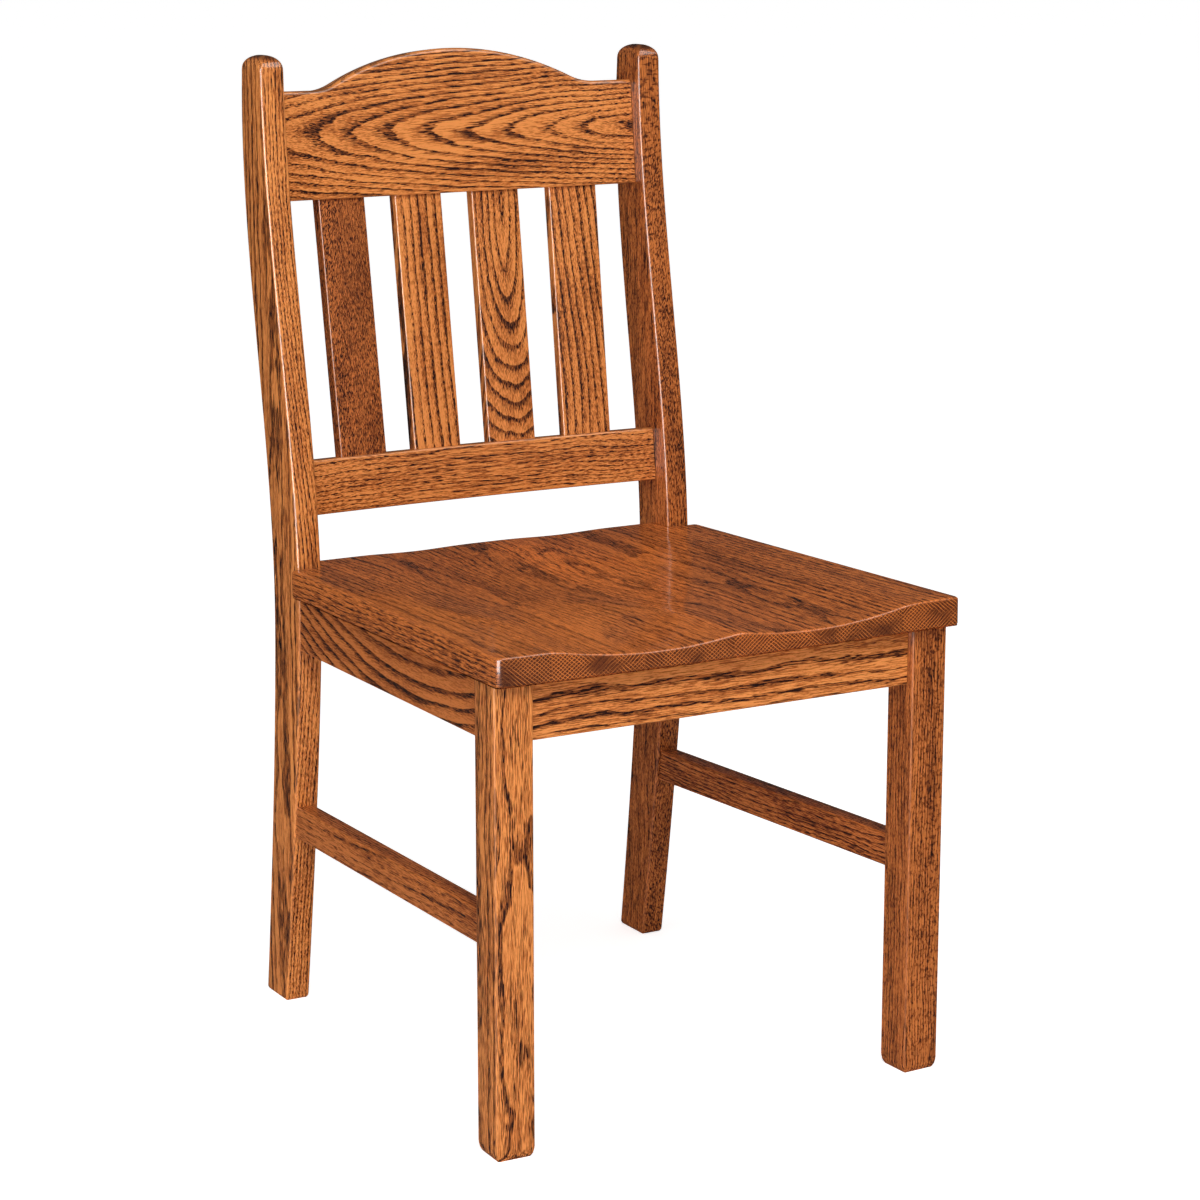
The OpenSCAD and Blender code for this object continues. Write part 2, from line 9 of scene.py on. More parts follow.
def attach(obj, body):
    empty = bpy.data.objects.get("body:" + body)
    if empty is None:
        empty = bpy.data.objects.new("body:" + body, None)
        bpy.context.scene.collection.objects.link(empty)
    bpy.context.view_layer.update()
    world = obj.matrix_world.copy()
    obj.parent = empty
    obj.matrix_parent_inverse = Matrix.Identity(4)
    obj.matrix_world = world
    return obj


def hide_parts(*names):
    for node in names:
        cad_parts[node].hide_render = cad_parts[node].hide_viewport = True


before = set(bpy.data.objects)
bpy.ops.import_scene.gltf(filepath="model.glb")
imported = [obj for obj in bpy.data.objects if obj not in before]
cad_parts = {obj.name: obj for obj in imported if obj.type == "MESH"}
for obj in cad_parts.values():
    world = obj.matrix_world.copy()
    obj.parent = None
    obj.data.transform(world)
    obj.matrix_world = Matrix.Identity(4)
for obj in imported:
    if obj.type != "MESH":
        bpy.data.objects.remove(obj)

scene = bpy.context.scene
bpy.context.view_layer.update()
MM = 0.001


# ======== camera, in metres and degrees ========

CAMERA_AT = (-1.4733, -2.5782, 1.0953)
CAMERA_DOWN, CAMERA_TURN = 12.67, -30.07

cam_data = bpy.data.cameras.new("camera")
cam_data.sensor_width = 36
cam_data.lens = 96.3
cam = bpy.data.objects.new("camera", cam_data)
cam.location = CAMERA_AT
cam.rotation_euler = (math.radians(90 - CAMERA_DOWN), 0, math.radians(CAMERA_TURN))
scene.collection.objects.link(cam)
scene.camera = cam


# ======== chair dimensions, in millimetres, as in the CAD source ========

def smooth(s):
    s = min(max(s, 0.0), 1.0)
    return s * s * (3 - 2 * s)


OVERALL_D, POST_H, KNEE = 560.0, 932.0, 410.0
KICK, RAKE = 49.5, 62.5
POST_D_FOOT, POST_D_SEAT, POST_D_TOP = 46.5, 58.0, 42.0
SEAT_H, SEAT_T, SEAT_D = 457.0, 26.0, 474.0
SEAT_X, SEAT_REAR_X, SEAT_BOW, SEAT_R = 239.5, 228.5, 5.5, 6.0
SLOPE = math.radians(0.85)
FIRST_SEAM, BOARD_W, BOARDS = 174.0, 90.5, 6
POST_X, POST_W = 219.5, 25.0
POST_IN = POST_X - POST_W
RAIL_T, APRON_H = 19.0, 55.0
STRETCHER_H, STRETCHER_Z, STRETCHER_SLOPE = 32.0, 188.0, math.radians(1.6)
SEAT_Y = -OVERALL_D / 2


def lean(z):
    """How far the post's front face stands behind its knee at height z."""
    if z < KNEE:
        return KICK * ((KNEE - z) / KNEE) ** 1.35
    return RAKE * smooth((z - KNEE) / (POST_H - KNEE))


def depth(z):
    """The post's front-to-back depth at height z."""
    if z < KNEE:
        return POST_D_SEAT + (POST_D_FOOT - POST_D_SEAT) * (KNEE - z) / KNEE
    return POST_D_SEAT + (POST_D_TOP - POST_D_SEAT) * ((z - KNEE) / (POST_H - KNEE)) ** 4


def tilt_at(z):
    return math.atan((lean(z + 1) - lean(z - 1)) / 2)


LOWER_Z, LOWER_H, LOWER_SET = 494.0, 53.0, 20.0
CREST_Z, CREST_END, CREST_MID, CREST_SET = 793.0, 104.0, 141.0, 15.0
BOW, BACK_T = 14.0, 22.0
SLAT_W, SLAT_T, SLAT_BACK = 52.0, 12.5, 1.5
SLAT_PITCH_LOW, SLAT_PITCH_TOP, SLATS = 84.0, 86.0, 4
LOWER_TILT = tilt_at(LOWER_Z + LOWER_H / 2)
CREST_TILT = tilt_at(CREST_Z + CREST_END / 2)
CREST_FRONT = lean(CREST_Z) + CREST_SET + BOW
CREST_REACH = CREST_FRONT + BACK_T * math.cos(CREST_TILT) + CREST_MID * math.sin(CREST_TILT)
KNEE_Y = OVERALL_D / 2 - CREST_REACH
BOW_R = (POST_IN ** 2 + BOW ** 2) / (2 * BOW)
LOWER_Y = KNEE_Y + lean(LOWER_Z) + LOWER_SET + BOW
CREST_Y = KNEE_Y + CREST_FRONT


def front(z):
    return KNEE_Y + lean(z)


def back(z):
    return front(z) + depth(z)


def seat_under(y):
    return SEAT_H - SEAT_T / math.cos(SLOPE) - (y - SEAT_Y) * math.tan(SLOPE)


LEG_W, LEG_FRONT_SET, LEG_SIDE_SET = 38.0, 19.0, 4.0
RAIL_SET_LEG, RAIL_SET_POST, APRON_SET, REAR_OVERHANG = 5.0, 1.5, 7.0, 5.0
LEG_X = SEAT_X - LEG_SIDE_SET
LEG_Y = SEAT_Y + LEG_FRONT_SET
SIDE_X = LEG_X - RAIL_SET_LEG
SPLAY_RUN = front(seat_under(front(KNEE)) - APRON_H / 2) - LEG_Y
SPLAY = math.atan((SIDE_X - POST_X + RAIL_SET_POST) / SPLAY_RUN)
GAP = 0.5  # dark joint lines between the meshes
UNDER_SEAT, LEG_UNDER_SEAT = 0.1, 0.15


# ======== mesh helpers ========

CORNER_STEPS = 4


def rounded_rect(cx, cy, hx, hy, r):
    """Rounded rectangle round (cx, cy) with half sizes hx, hy; one radius, or one for each corner."""
    radii = r if isinstance(r, (list, tuple)) else [r] * 4
    corners = ((1, 1, 0), (-1, 1, 90), (-1, -1, 180), (1, -1, 270))
    pts = []
    for (sx, sy, start), rr in zip(corners, radii):
        rr = max(min(rr, hx * 0.98, hy * 0.98), 0.01)
        for i in range(CORNER_STEPS + 1):
            t = math.radians(start + 90 * i / CORNER_STEPS)
            pts.append((cx + sx * (hx - rr) + rr * math.cos(t), cy + sy * (hy - rr) + rr * math.sin(t)))
    return pts


def mesh_object(name, verts, faces, sharp=40, ease=None):
    """Smooth-shaded object, with edges over `sharp` degrees kept sharp."""
    me = bpy.data.meshes.new(name)
    me.from_pydata([Vector(v) * MM for v in verts], [], faces)
    me.validate()
    me.update()
    ob = bpy.data.objects.new(name, me)
    scene.collection.objects.link(ob)
    bm = bmesh.new()
    bm.from_mesh(me)
    bmesh.ops.recalc_face_normals(bm, faces=bm.faces)
    for f in bm.faces:
        f.smooth = True
    limit = math.radians(sharp)
    for e in bm.edges:
        if len(e.link_faces) == 2 and e.calc_face_angle(0) > limit:
            e.smooth = False
    bm.to_mesh(me)
    bm.free()
    # 1 along the middle of an eased edge, 0 on the flats: thinner stain and a painted highlight there
    at = me.attributes.new("ease", "FLOAT", "POINT")
    at.data.foreach_set("value", ease or [0.0] * len(me.vertices))
    return ob


def loft(name, rings):
    """Closed solid through rings of 3-D points, every ring a rounded rectangle."""
    n = len(rings[0])
    verts = [p for r in rings for p in r]
    faces = []
    for k in range(len(rings) - 1):
        for i in range(n):
            j = (i + 1) % n
            faces.append((k * n + i, k * n + j, (k + 1) * n + j, (k + 1) * n + i))
    faces.append(tuple(reversed(range(n))))
    faces.append(tuple((len(rings) - 1) * n + i for i in range(n)))
    around = [math.sin(math.pi * (i % (CORNER_STEPS + 1)) / CORNER_STEPS) for i in range(n)]
    return mesh_object(name, verts, faces, ease=around * len(rings))


def mirror_x(rings):
    return [[(-x, y, z) for x, y, z in reversed(r)] for r in rings]


pieces = {}


def add(ob, *nodes, slot="oak"):
    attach(ob, "root")
    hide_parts(*nodes)
    pieces[ob.name] = ob
    return ob


# ======== rear posts ========

POST_EDGE_R = 2.6
POST_TOP_R, POST_TOP_SIDE_R, POST_CAP = 11.0, 16.0, 18.0
# height, inset and corner radius of the sections that ease a foot
POST_FOOT = ((0.0, 1.6, 1.2), (0.6, 1.2, 1.6), (2.2, 0.2, 2.4))


def roundover(rise, r):
    """Inset of a corner rounded to radius r, at a rise above its foot."""
    return r * (1 - math.sqrt(max(0, 1 - max(0, rise / r) ** 2)))


def post_rings():
    cx = -POST_X + POST_W / 2

    def section(z, inset=0.0, r=POST_EDGE_R):
        f, b = front(z), back(z)
        outline = rounded_rect(cx, (f + b) / 2, POST_W / 2 - inset, (b - f) / 2 - inset, r)
        return [(x, y, z) for x, y in outline]

    out = [section(z, inset, r) for z, inset, r in POST_FOOT]
    z = 4.0
    while z < POST_H - POST_CAP - 1:
        out.append(section(z))
        z += 14.0 if z > 40 else 6.0
    # the rounded cap stands on the section at cap_z
    cap_z = POST_H - POST_CAP
    f, b = front(cap_z), back(cap_z)
    for i in range(13):
        t = math.radians(90 * i / 12)
        rise = POST_CAP * math.sin(t)
        hx = POST_W / 2 - roundover(rise - (POST_CAP - POST_TOP_R), POST_TOP_R)
        hy = (b - f) / 2 - roundover(rise - (POST_CAP - POST_TOP_SIDE_R), POST_TOP_SIDE_R)
        outline = rounded_rect(cx, (f + b) / 2, hx, hy, POST_EDGE_R + 3 * (1 - math.cos(t)))
        out.append([(x, y, cap_z + rise) for x, y in outline])
    return out


rings = post_rings()
add(loft("post_left", rings), "rear_leg_left")
add(loft("post_right", mirror_x(rings)), "rear_leg_right")


# ======== front legs and side rails: the frame that is turned to the seat's splay ========

LEG_EDGE_R = 2.2
LEG_FOOT = ((0, 3.2, 1.2), (0.8, 2.6, 1.5), (3.5, 1.1, 2.0), (7.5, 0.2, 2.2), (10, 0, 2.2))


def side_point(x, y, z):
    c, s = math.cos(SPLAY), math.sin(SPLAY)
    return (-SIDE_X + x * c + y * s, LEG_Y - x * s + y * c, z)


def leg_rings():
    half = LEG_W / 2

    def section(z, inset=0.0, r=LEG_EDGE_R):
        outline = rounded_rect(half - RAIL_SET_LEG, half, half - inset, half - inset, r)
        return [side_point(x, y, z) for x, y in outline]

    out = [section(z, inset, r) for z, inset, r in LEG_FOOT]
    out += [section(z) for z in range(40, 420, 40)]
    out.append([(x, y, seat_under(y) - LEG_UNDER_SEAT) for x, y, _ in section(0)])
    return out


rings = leg_rings()
add(loft("leg_left", rings), "front_leg_left")
add(loft("leg_right", mirror_x(rings)), "front_leg_right")


def post_meets(x, height_at):
    """Length along a side rail to the post's curved front face, where the rail stands at height_at(length)."""
    y = 400.0
    for _ in range(6):
        y += front(height_at(y)) - GAP - side_point(x, y, 0)[1]
    return y


def side_rail(z_front, height, slope, r, steps=8):
    """Rings of the left side rail, from the leg to the post."""
    out = []
    for k in range(steps + 1):
        section = []
        for x, w in rounded_rect(RAIL_T / 2, 0, RAIL_T / 2, height / 2, r):
            rise = (w + height / 2) / math.cos(slope)

            def height_at(y):
                return z_front + rise - (y - LEG_W) * math.tan(slope)

            y0 = LEG_W + GAP
            y = y0 + (post_meets(x, height_at) - y0) * k / steps
            section.append(side_point(x, y, height_at(y)))
        out.append(section)
    return out


apron_z = seat_under(LEG_Y + LEG_W) - APRON_H - UNDER_SEAT
rings = side_rail(apron_z, APRON_H, SLOPE, [1.2, 1.2, 1.8, 1.8])
add(loft("side_rail_left", rings), "side_apron_left")
add(loft("side_rail_right", mirror_x(rings)), "side_apron_right")
rings = side_rail(STRETCHER_Z, STRETCHER_H, STRETCHER_SLOPE, 2.2)
add(loft("stretcher_left", rings), "side_stretcher_left", slot="oak_dark")
add(loft("stretcher_right", mirror_x(rings)), "side_stretcher_right", slot="oak_dark")


def cross_rail(y0, end_x, steps=8):
    """Straight rail along X between its two ends; end_x(y) is the half length at that y."""
    z0 = seat_under(y0) - APRON_H
    radii = [1.0, 1.0, 1.8, 1.8]
    outline = rounded_rect(y0 + RAIL_T / 2, z0 + APRON_H / 2 - UNDER_SEAT, RAIL_T / 2, APRON_H / 2, radii)
    out = []
    for k in range(steps + 1):
        f = -1 + 2 * k / steps
        section = []
        for y, z in outline:
            # the top follows the seat's slope, the bottom is level
            follow = 0.0 if z < z0 + 20 else seat_under(y) - seat_under(y0)
            section.append((f * (end_x(y) - GAP), y, z + follow))
        out.append(section)
    return out


def leg_inner(y):
    return SIDE_X - (LEG_W - RAIL_SET_LEG) / math.cos(SPLAY) - (y - LEG_Y) * math.tan(SPLAY)


add(loft("rail_front", cross_rail(LEG_Y + APRON_SET, leg_inner)), "front_apron")
rear_y = SEAT_Y + SEAT_D - REAR_OVERHANG - RAIL_T
add(loft("rail_rear", cross_rail(rear_y, lambda y: POST_IN)), "rear_apron")


# ======== back rails and slats ========

def bow(x):
    return math.sqrt(BOW_R ** 2 - x * x) - BOW_R


def tilted(x, y, z, y0, z0, tilt):
    return (x, y0 + y * math.cos(tilt) + z * math.sin(tilt), z0 - y * math.sin(tilt) + z * math.cos(tilt))


CROWN_R, FOOT_R = 290.0, 60.0
CROWN_C = CREST_MID - CROWN_R
FOOT_X = math.sqrt((CROWN_R + FOOT_R) ** 2 - (CREST_END + FOOT_R - CROWN_C) ** 2)
JOIN_X = FOOT_X * CROWN_R / (CROWN_R + FOOT_R)


def crown(x):
    """Height of the crest at x: a crown arc, a small hollow arc each side of it, and flat ends."""
    x = abs(x)
    if x < JOIN_X:
        return CROWN_C + math.sqrt(CROWN_R ** 2 - x * x)
    if x < FOOT_X:
        return CREST_END + FOOT_R - math.sqrt(FOOT_R ** 2 - (FOOT_X - x) ** 2)
    return CREST_END


def back_rail(name, y0, z0, tilt, height, radii, steps):
    """Bowed rail between the posts; radii of the rear top, front top, front bottom and rear bottom corners."""
    out = []
    for k in range(steps + 1):
        x = (POST_IN - GAP) * (-1 + 2 * k / steps)
        h = height(x)
        outline = rounded_rect(bow(x) + BACK_T / 2, h / 2, BACK_T / 2, h / 2, radii)
        out.append([tilted(x, y, z, y0, z0, tilt) for y, z in outline])
    return loft(name, out)


lower = back_rail("lower_rail", LOWER_Y, LOWER_Z, LOWER_TILT, lambda x: LOWER_H, [2.5] * 4, 48)
add(lower, "lower_back_rail")
add(back_rail("crest", CREST_Y, CREST_Z, CREST_TILT, crown, [4, 4.5, 2.2, 2.2], 160), "crest_rail")


def slat(i):
    k = i - (SLATS + 1) / 2
    xl, xt = k * SLAT_PITCH_LOW, k * SLAT_PITCH_TOP
    hidden = 8  # how far the slat runs into each rail
    low = Vector(tilted(xl, bow(xl) + BACK_T / 2 + SLAT_BACK, LOWER_H - hidden, LOWER_Y, LOWER_Z, LOWER_TILT))
    top = Vector(tilted(xt, bow(xt) + BACK_T / 2 + SLAT_BACK, hidden, CREST_Y, CREST_Z, CREST_TILT))
    run = (top - low).normalized()
    yaw = -math.asin(xl / BOW_R)
    side = Vector((math.cos(yaw), math.sin(yaw), 0))
    side = (side - run * side.dot(run)).normalized()
    deep = run.cross(side)
    outline = rounded_rect(0, 0, SLAT_W / 2, SLAT_T / 2, 1.8)
    sections = []
    for j in range(9):
        c = low.lerp(top, j / 8)
        sections.append([tuple(c + side * a + deep * b) for a, b in outline])
    return loft("slat_%d" % i, sections)


for i in range(1, SLATS + 1):
    add(slat(i), "back_slat_%d" % i, slot="oak_dark" if i == 1 else "oak")


# ======== seat: one smooth saddled surface, cut at its glue lines ========

HOLLOW_X, HOLLOW_R, DEEP, DEEP_REAR = 80.0, 500.0, 10.3, 0.8
DISH, DISH_R, DISH_Y = 9.0, 2000.0, 255.0
RIM_TOP, RIM_LOW = 3.0, 2.4
NOTCH = 0.35
EAR_R = 5.0


def smin(a, b, k):
    """Smooth minimum, blended over k."""
    h = max(k - abs(a - b), 0.0) / k
    return min(a, b) - h * h * k * 0.25


def saddle(x, y):
    """Height of the seat's top at x and at y behind its front edge, before its edges are eased."""
    floor_z = -(DEEP + (DEEP_REAR - DEEP) * y / SEAT_D)
    left = floor_z + (x + HOLLOW_X) ** 2 / (2 * HOLLOW_R)
    right = floor_z + (x - HOLLOW_X) ** 2 / (2 * HOLLOW_R)
    dish = -DISH + (x * x + (y - DISH_Y) ** 2) / (2 * DISH_R)
    z = smin(smin(left, right, 2.2), dish, 3.5)
    return smin(z, 0.35, 2.0)


def line(a, b, step=9.0):
    n = max(1, int(math.dist(a, b) / step))
    return [(a[0] + (b[0] - a[0]) * k / n, a[1] + (b[1] - a[1]) * k / n) for k in range(n)]


def arc(cx, cy, r, a0, a1, n=6):
    angles = [math.radians(a0 + (a1 - a0) * k / n) for k in range(n + 1)]
    return [(cx + r * math.cos(a), cy + r * math.sin(a)) for a in angles]


def seat_outline():
    """Counter-clockwise outline in the seat's own plane: x, and y back from the front edge."""
    notch_y = KNEE_Y - SEAT_Y - NOTCH
    notch_x = POST_IN - NOTCH
    right = [(x, SEAT_BOW * (x / SEAT_X) ** 2) for x in [k * 8.0 for k in range(29)]]
    corner = arc(SEAT_X - SEAT_R, SEAT_BOW + SEAT_R - 0.8, SEAT_R, -88, 0)
    ear = arc(SEAT_REAR_X - 0.5 - EAR_R, notch_y - EAR_R, EAR_R, 0, 90)
    right += corner + line(corner[-1], ear[0])[1:] + ear
    right += line(ear[-1], (notch_x, notch_y))[1:] + line((notch_x, notch_y), (notch_x, SEAT_D))
    right += line((notch_x, SEAT_D), (0.0, SEAT_D))
    right.append((0.0, SEAT_D))
    left = [(-x, y) for x, y in reversed(right[1:-1])]
    return right + left


def inset_polygon(poly, d):
    """Each point of a counter-clockwise outline moved d towards the inside, along its corner's bisector."""
    out = []
    n = len(poly)
    for i in range(n):
        p0, p1, p2 = Vector(poly[i - 1]), Vector(poly[i]), Vector(poly[(i + 1) % n])
        a, b = (p1 - p0).normalized(), (p2 - p1).normalized()
        na, nb = Vector((-a.y, a.x)), Vector((-b.y, b.x))
        m = (na + nb).normalized()
        out.append(tuple(p1 + m * (d / max(0.4, m.dot(na)))))
    return out


def inside(poly, x, y):
    hit = False
    n = len(poly)
    for i in range(n):
        (x0, y0), (x1, y1) = poly[i], poly[(i + 1) % n]
        if (y0 > y) != (y1 > y) and x < (x1 - x0) * (y - y0) / (y1 - y0) + x0:
            hit = not hit
    return hit


def nearest_edge(x, y, outline):
    """Distance from a point to the outline, and the nearest edge's inward direction."""
    best, inward = 1e9, (0.0, 0.0)
    n = len(outline)
    for i in range(n):
        ax, ay = outline[i]
        bx, by = outline[(i + 1) % n]
        dx, dy = bx - ax, by - ay
        t = min(max(((x - ax) * dx + (y - ay) * dy) / (dx * dx + dy * dy + 1e-9), 0), 1)
        d = math.hypot(x - ax - t * dx, y - ay - t * dy)
        if d < best:
            best, inward = d, (-dy, dx)
    return best, inward


def pull_in(x, y, outline, inset):
    """A point on the outline moved inwards; a point on a glue line stays."""
    d, inward = nearest_edge(x, y, outline)
    if d > 0.5 or inset == 0:
        return x, y
    k = inset / (math.hypot(*inward) + 1e-9)
    return x + inward[0] * k, y + inward[1] * k


def seat_points(outline):
    """The rim's nested outlines, closer together towards the edge, and a grid of points inside them."""
    insets = [0.0] + [RIM_TOP * (1 - math.cos(math.radians(a))) for a in (18, 36, 54, 72, 90)]
    levels = [inset_polygon(outline, d) for d in insets]
    core = inset_polygon(outline, RIM_TOP + 2.5)
    columns = [-236.0 + 7.0 * k for k in range(68)]
    rows = [4.0 + 8.0 * k for k in range(59)]
    grid = [(x, y) for y in rows for x in columns if inside(core, x, y)]
    return levels, grid


def board_plan(outline, levels, grid, xa, xb, cut_steps=60):
    """Triangulated plan of the board between two glue lines: points and triangles."""
    n = len(outline)
    pts, edges = [], []
    for level in levels:
        base = len(pts)
        pts += [Vector(p) for p in level]
        edges += [(base + i, base + (i + 1) % n) for i in range(n)]
    pts += [Vector(p) for p in grid]
    base = len(pts)
    pts += [Vector(p) for p in ((xa, -20), (xb, -20), (xb, SEAT_D + 20), (xa, SEAT_D + 20))]
    edges += [(base + i, base + (i + 1) % 4) for i in range(4)]
    for x in (xa, xb):
        pts += [Vector((x, 4 + (SEAT_D - 8) * k / cut_steps)) for k in range(cut_steps + 1)]
    plan, _, triangles, *_ = delaunay_2d_cdt(pts, edges, [], 0, 1e-4)
    keep = []
    for f in triangles:
        c = sum((plan[i] for i in f), Vector((0, 0))) / len(f)
        if xa < c.x < xb and inside(outline, c.x, c.y):
            keep.append(f)
    used = sorted({i for f in keep for i in f})
    index = {v: k for k, v in enumerate(used)}
    return [plan[i] for i in used], [[index[i] for i in f] for f in keep]


# drop and inset of the rows that ease the seat's lower edge
LOW_ROWS = ((SEAT_T - RIM_LOW, 0.0), (SEAT_T - RIM_LOW * 0.62, RIM_LOW * 0.08),
            (SEAT_T - RIM_LOW * 0.3, RIM_LOW * 0.29), (SEAT_T - RIM_LOW * 0.08, RIM_LOW * 0.62))


def seat_board(name, outline, plan, triangles):
    top, ease = [], []
    for p in plan:
        z = saddle(p.x, p.y)
        d, _ = nearest_edge(p.x, p.y, outline)
        if d < RIM_TOP:
            z -= RIM_TOP - math.sqrt(max(0.0, RIM_TOP ** 2 - (RIM_TOP - d) ** 2))
        top.append((p.x, p.y, z))
        ease.append(math.sin(math.pi * min(d, RIM_TOP) / RIM_TOP))
    m = len(top)
    verts = top + [(p.x, p.y, -SEAT_T) for p in plan]
    faces, directed = [], {}
    for f in triangles:
        faces.append(tuple(f))
        faces.append(tuple(m + i for i in reversed(f)))
        for pair in zip(f, f[1:] + f[:1]):
            directed[pair] = 1
    rim = [(a, c) for a, c in directed if (c, a) not in directed]
    # the walls, with the lower edge eased on the outside of the seat
    rim_v = sorted({i for e in rim for i in e})
    place = {v: k for k, v in enumerate(rim_v)}
    starts = []
    for drop, inset in LOW_ROWS:
        starts.append(len(verts))
        verts += [(*pull_in(verts[v][0], verts[v][1], outline, inset), -drop) for v in rim_v]
    for v in rim_v:
        verts[m + v] = (*pull_in(verts[m + v][0], verts[m + v][1], outline, RIM_LOW), -SEAT_T)
    for a, c in rim:
        chain_a = [a] + [s + place[a] for s in starts] + [m + a]
        chain_c = [c] + [s + place[c] for s in starts] + [m + c]
        for k in range(len(chain_a) - 1):
            faces.append((chain_a[k], chain_a[k + 1], chain_c[k + 1], chain_c[k]))
    c, s = math.cos(SLOPE), math.sin(SLOPE)
    placed = [(x, SEAT_Y + y * c + z * s, SEAT_H - y * s + z * c) for x, y, z in verts]
    return mesh_object(name, placed, faces, 50, ease + [0.0] * (len(verts) - m))


outline = seat_outline()
levels, grid = seat_points(outline)
seams = [-SEAT_X - 5] + [FIRST_SEAM - k * BOARD_W for k in range(BOARDS - 2, -1, -1)] + [SEAT_X + 5]
for b in range(BOARDS):
    plan, triangles = board_plan(outline, levels, grid, seams[b], seams[b + 1])
    board = seat_board("seat_%d" % (b + 1), outline, plan, triangles)
    add(board, "seat_board_%d" % (b + 1), slot="oak_seat")


# ======== shader helpers ========

def math_node(nt, op, a, b=None, c=None, clamp=False):
    n = nt.nodes.new("ShaderNodeMath")
    n.operation = op
    n.use_clamp = clamp
    for i, v in enumerate((a, b, c)):
        if isinstance(v, (int, float)):
            n.inputs[i].default_value = v
        elif v is not None:
            nt.links.new(v, n.inputs[i])
    return n.outputs[0]


def noise(nt, vec, scale, detail=2.0, rough=0.5):
    n = nt.nodes.new("ShaderNodeTexNoise")
    n.inputs["Scale"].default_value = scale
    n.inputs["Detail"].default_value = detail
    n.inputs["Roughness"].default_value = rough
    nt.links.new(vec, n.inputs["Vector"])
    return n.outputs["Fac"]


def vector_math(nt, op, vec, other):
    n = nt.nodes.new("ShaderNodeVectorMath")
    n.operation = op
    n.inputs[1].default_value = other
    nt.links.new(vec, n.inputs[0])
    return n.outputs[0]


def split(nt, vec):
    n = nt.nodes.new("ShaderNodeSeparateXYZ")
    nt.links.new(vec, n.inputs[0])
    return n.outputs


def combine(nt, *parts):
    n = nt.nodes.new("ShaderNodeCombineXYZ")
    for k, part in enumerate(parts):
        nt.links.new(part, n.inputs[k])
    return n.outputs[0]


def ramp(nt, fac, *stops):
    """Colour ramp; a stop is a position with a colour or a grey."""
    n = nt.nodes.new("ShaderNodeValToRGB")
    elements = n.color_ramp.elements
    while len(elements) < len(stops):
        elements.new(0.5)
    for e, (position, c) in zip(elements, stops):
        e.position = position
        e.color = (*c, 1) if isinstance(c, tuple) else (c, c, c, 1)
    nt.links.new(fac, n.inputs[0])
    return n.outputs[0]


def mix(nt, fac, a, b):
    n = nt.nodes.new("ShaderNodeMix")
    n.data_type = "RGBA"
    ins = {s.identifier: s for s in n.inputs}
    for s, v in ((ins["Factor_Float"], fac), (ins["A_Color"], a), (ins["B_Color"], b)):
        if isinstance(v, tuple):
            s.default_value = (*v, 1)
        else:
            nt.links.new(v, s)
    return {s.identifier: s for s in n.outputs}["Result_Color"]


def srgb(r, g, b):
    def lin(c):
        c /= 255
        return c / 12.92 if c < 0.04045 else ((c + 0.055) / 1.055) ** 2.4
    return (lin(r), lin(g), lin(b))


# ======== oak ========

# What sets one board's figure, all in millimetres along (u), across (v) and through (w) the board:
# Pith and Lean: where the tree's middle lies, and its drift along the board. Ring: width of a year.
# Sway and Swirl: slow waves across and through. Arch and Bent: curvature through and across.
# Rings, Pores, Rays, Bands and Hatch: how strongly each shows.
FIGURE = ("Pith across", "Pith through", "Lean across", "Lean through", "Ring", "Seed", "Sway", "Swirl",
          "Rings", "Pores", "Rays", "Bands", "Arch", "Bent", "Hatch")


